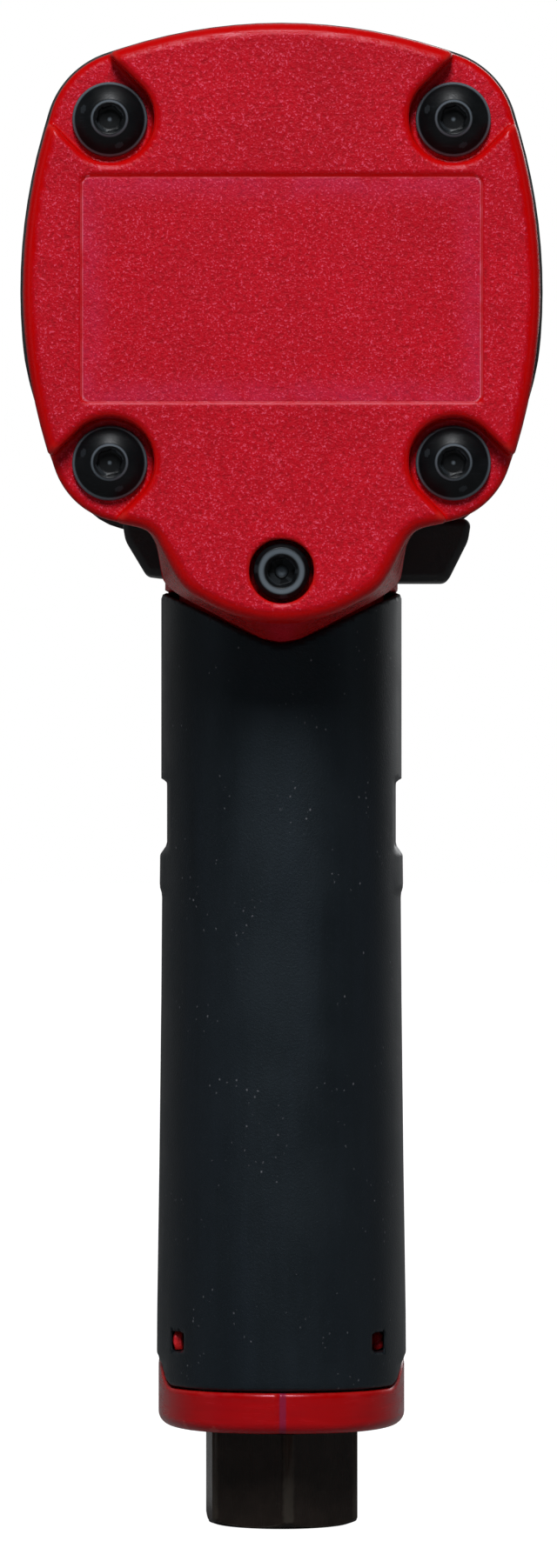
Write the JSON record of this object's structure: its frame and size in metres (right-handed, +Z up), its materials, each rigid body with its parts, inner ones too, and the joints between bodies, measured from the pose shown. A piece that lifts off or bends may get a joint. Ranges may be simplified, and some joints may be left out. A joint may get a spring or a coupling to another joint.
{
  "type": "air impact wrench",
  "caption": "Compact air impact wrench: bolted square head, front square drive, rubber pistol handle, trigger, side-to-side reverse bar and a threaded air inlet below.",
  "frame": {"origin": "on the spindle axis, in the shoulder plane behind the square drive", "axes": "+Y out of the nose along the spindle, +Z up from the handle to the head, +X to the right seen from behind"},
  "size_m": [0.0666, 0.1, 0.1937],
  "materials": {
    "red_housing": "grained",
    "red_gloss": "gloss",
    "black_gasket": "matte",
    "black_screw": "black oxide",
    "black_rubber": "satin",
    "black_plastic": "satin",
    "brass": "turned",
    "felt": "felted",
    "machined_steel": "machined",
    "bearing_steel": "ground",
    "spring_steel": "bright",
    "vane_resin": "matte",
    "hammer_steel": "phosphated",
    "dark_case": "satin",
    "drive_steel": "hardened",
    "inlet_steel": "black oxide"
  },
  "bodies": {
    "housing": {"rear_cover": "red_housing", "rear_gasket": "black_gasket", "case_screws": "black_screw", "lower_screw": "black_screw", "lower_screw_insert": "brass", "motor_housing": "red_housing", "grip_sleeve": "black_rubber", "base_ring": "red_gloss", "base_gasket": "black_gasket", "exhaust_silencer": "felt", "rear_end_plate": "machined_steel", "motor_cylinder": "machined_steel", "cylinder_dowel": "machined_steel", "front_end_plate": "machined_steel", "rear_bearing_outer_race": "bearing_steel", "front_bearing_outer_race": "bearing_steel", "hammer_case": "dark_case", "case_gasket": "black_gasket", "anvil_bushing": "brass", "nose_seal": "black_gasket", "trigger_bushing": "brass", "throttle_seat": "brass", "throttle_spring": "spring_steel", "reverse_sleeve": "brass", "detent_ball": "bearing_steel", "detent_spring": "spring_steel", "inlet_bushing": "inlet_steel", "inlet_o_ring": "black_gasket", "inlet_screen": "machined_steel"},
    "motor_and_cage": {"rotor": "machined_steel", "rotor_vanes": "vane_resin", "rear_bearing_inner_race": "bearing_steel", "front_bearing_inner_race": "bearing_steel", "hammer_cage": "hammer_steel", "hammer_pins": "bearing_steel"},
    "rear_balls": {"rear_bearing_balls": "bearing_steel"},
    "front_balls": {"front_bearing_balls": "bearing_steel"},
    "rear_hammer_body": {"rear_hammer": "hammer_steel"},
    "front_hammer_body": {"front_hammer": "hammer_steel"},
    "anvil_body": {"anvil": "drive_steel", "socket_ring": "bearing_steel", "socket_ring_cushion": "black_gasket"},
    "trigger_body": {"trigger": "black_plastic", "trigger_stem": "machined_steel", "trigger_cross_pin": "machined_steel"},
    "throttle_body": {"throttle_valve": "brass", "throttle_valve_washer": "black_gasket"},
    "reverse_bar": {"reverse_spool": "machined_steel", "reverse_button_left": "black_plastic", "reverse_button_right": "black_plastic", "reverse_o_rings": "black_gasket"}
  },
  "joints": [
    {"name": "rotor_spin", "type": "hinge", "parent": "housing", "child": "motor_and_cage", "pos_m": [0, -0.057, 0], "axis": [0, 1, 0], "continuous": true},
    {"name": "rear_balls_orbit", "type": "hinge", "parent": "housing", "child": "rear_balls", "pos_m": [0, -0.079, 0], "axis": [0, 1, 0], "continuous": true},
    {"name": "front_balls_orbit", "type": "hinge", "parent": "housing", "child": "front_balls", "pos_m": [0, -0.042, 0], "axis": [0, 1, 0], "continuous": true},
    {"name": "rear_hammer_rock", "type": "hinge", "parent": "motor_and_cage", "child": "rear_hammer_body", "pos_m": [0, -0.029, 0.0168], "axis": [0, 1, 0], "range_deg": [-3.5, 3.5]},
    {"name": "front_hammer_rock", "type": "hinge", "parent": "motor_and_cage", "child": "front_hammer_body", "pos_m": [0, -0.021, -0.0168], "axis": [0, 1, 0], "range_deg": [-3.5, 3.5]},
    {"name": "anvil_spin", "type": "hinge", "parent": "housing", "child": "anvil_body", "pos_m": [0, -0.007, 0], "axis": [0, 1, 0], "continuous": true},
    {"name": "trigger_slide", "type": "slide", "parent": "housing", "child": "trigger_body", "axis": [0, -1, 0], "range_m": [0, 0.005], "stiffness_N_per_m": 1200, "springref_m": -0.002},
    {"name": "throttle_tilt", "type": "hinge", "parent": "housing", "child": "throttle_body", "pos_m": [0, -0.0428, -0.08405], "axis": [1, 0, 0], "range_deg": [0, 11.2], "deforming": ["throttle_spring"]},
    {"name": "reverse_slide", "type": "slide", "parent": "housing", "child": "reverse_bar", "axis": [1, 0, 0], "range_m": [-0.004, 0]}
  ],
  "couplings": [
    {"joint": "rear_balls_orbit", "follows": "rotor_spin", "ratio": 0.368},
    {"joint": "front_balls_orbit", "follows": "rotor_spin", "ratio": 0.4028},
    {"joint": "anvil_spin", "follows": "rotor_spin", "ratio": 1},
    {"joint": "throttle_tilt", "follows": "trigger_slide", "rad_per_m": 38.6}
  ]
}
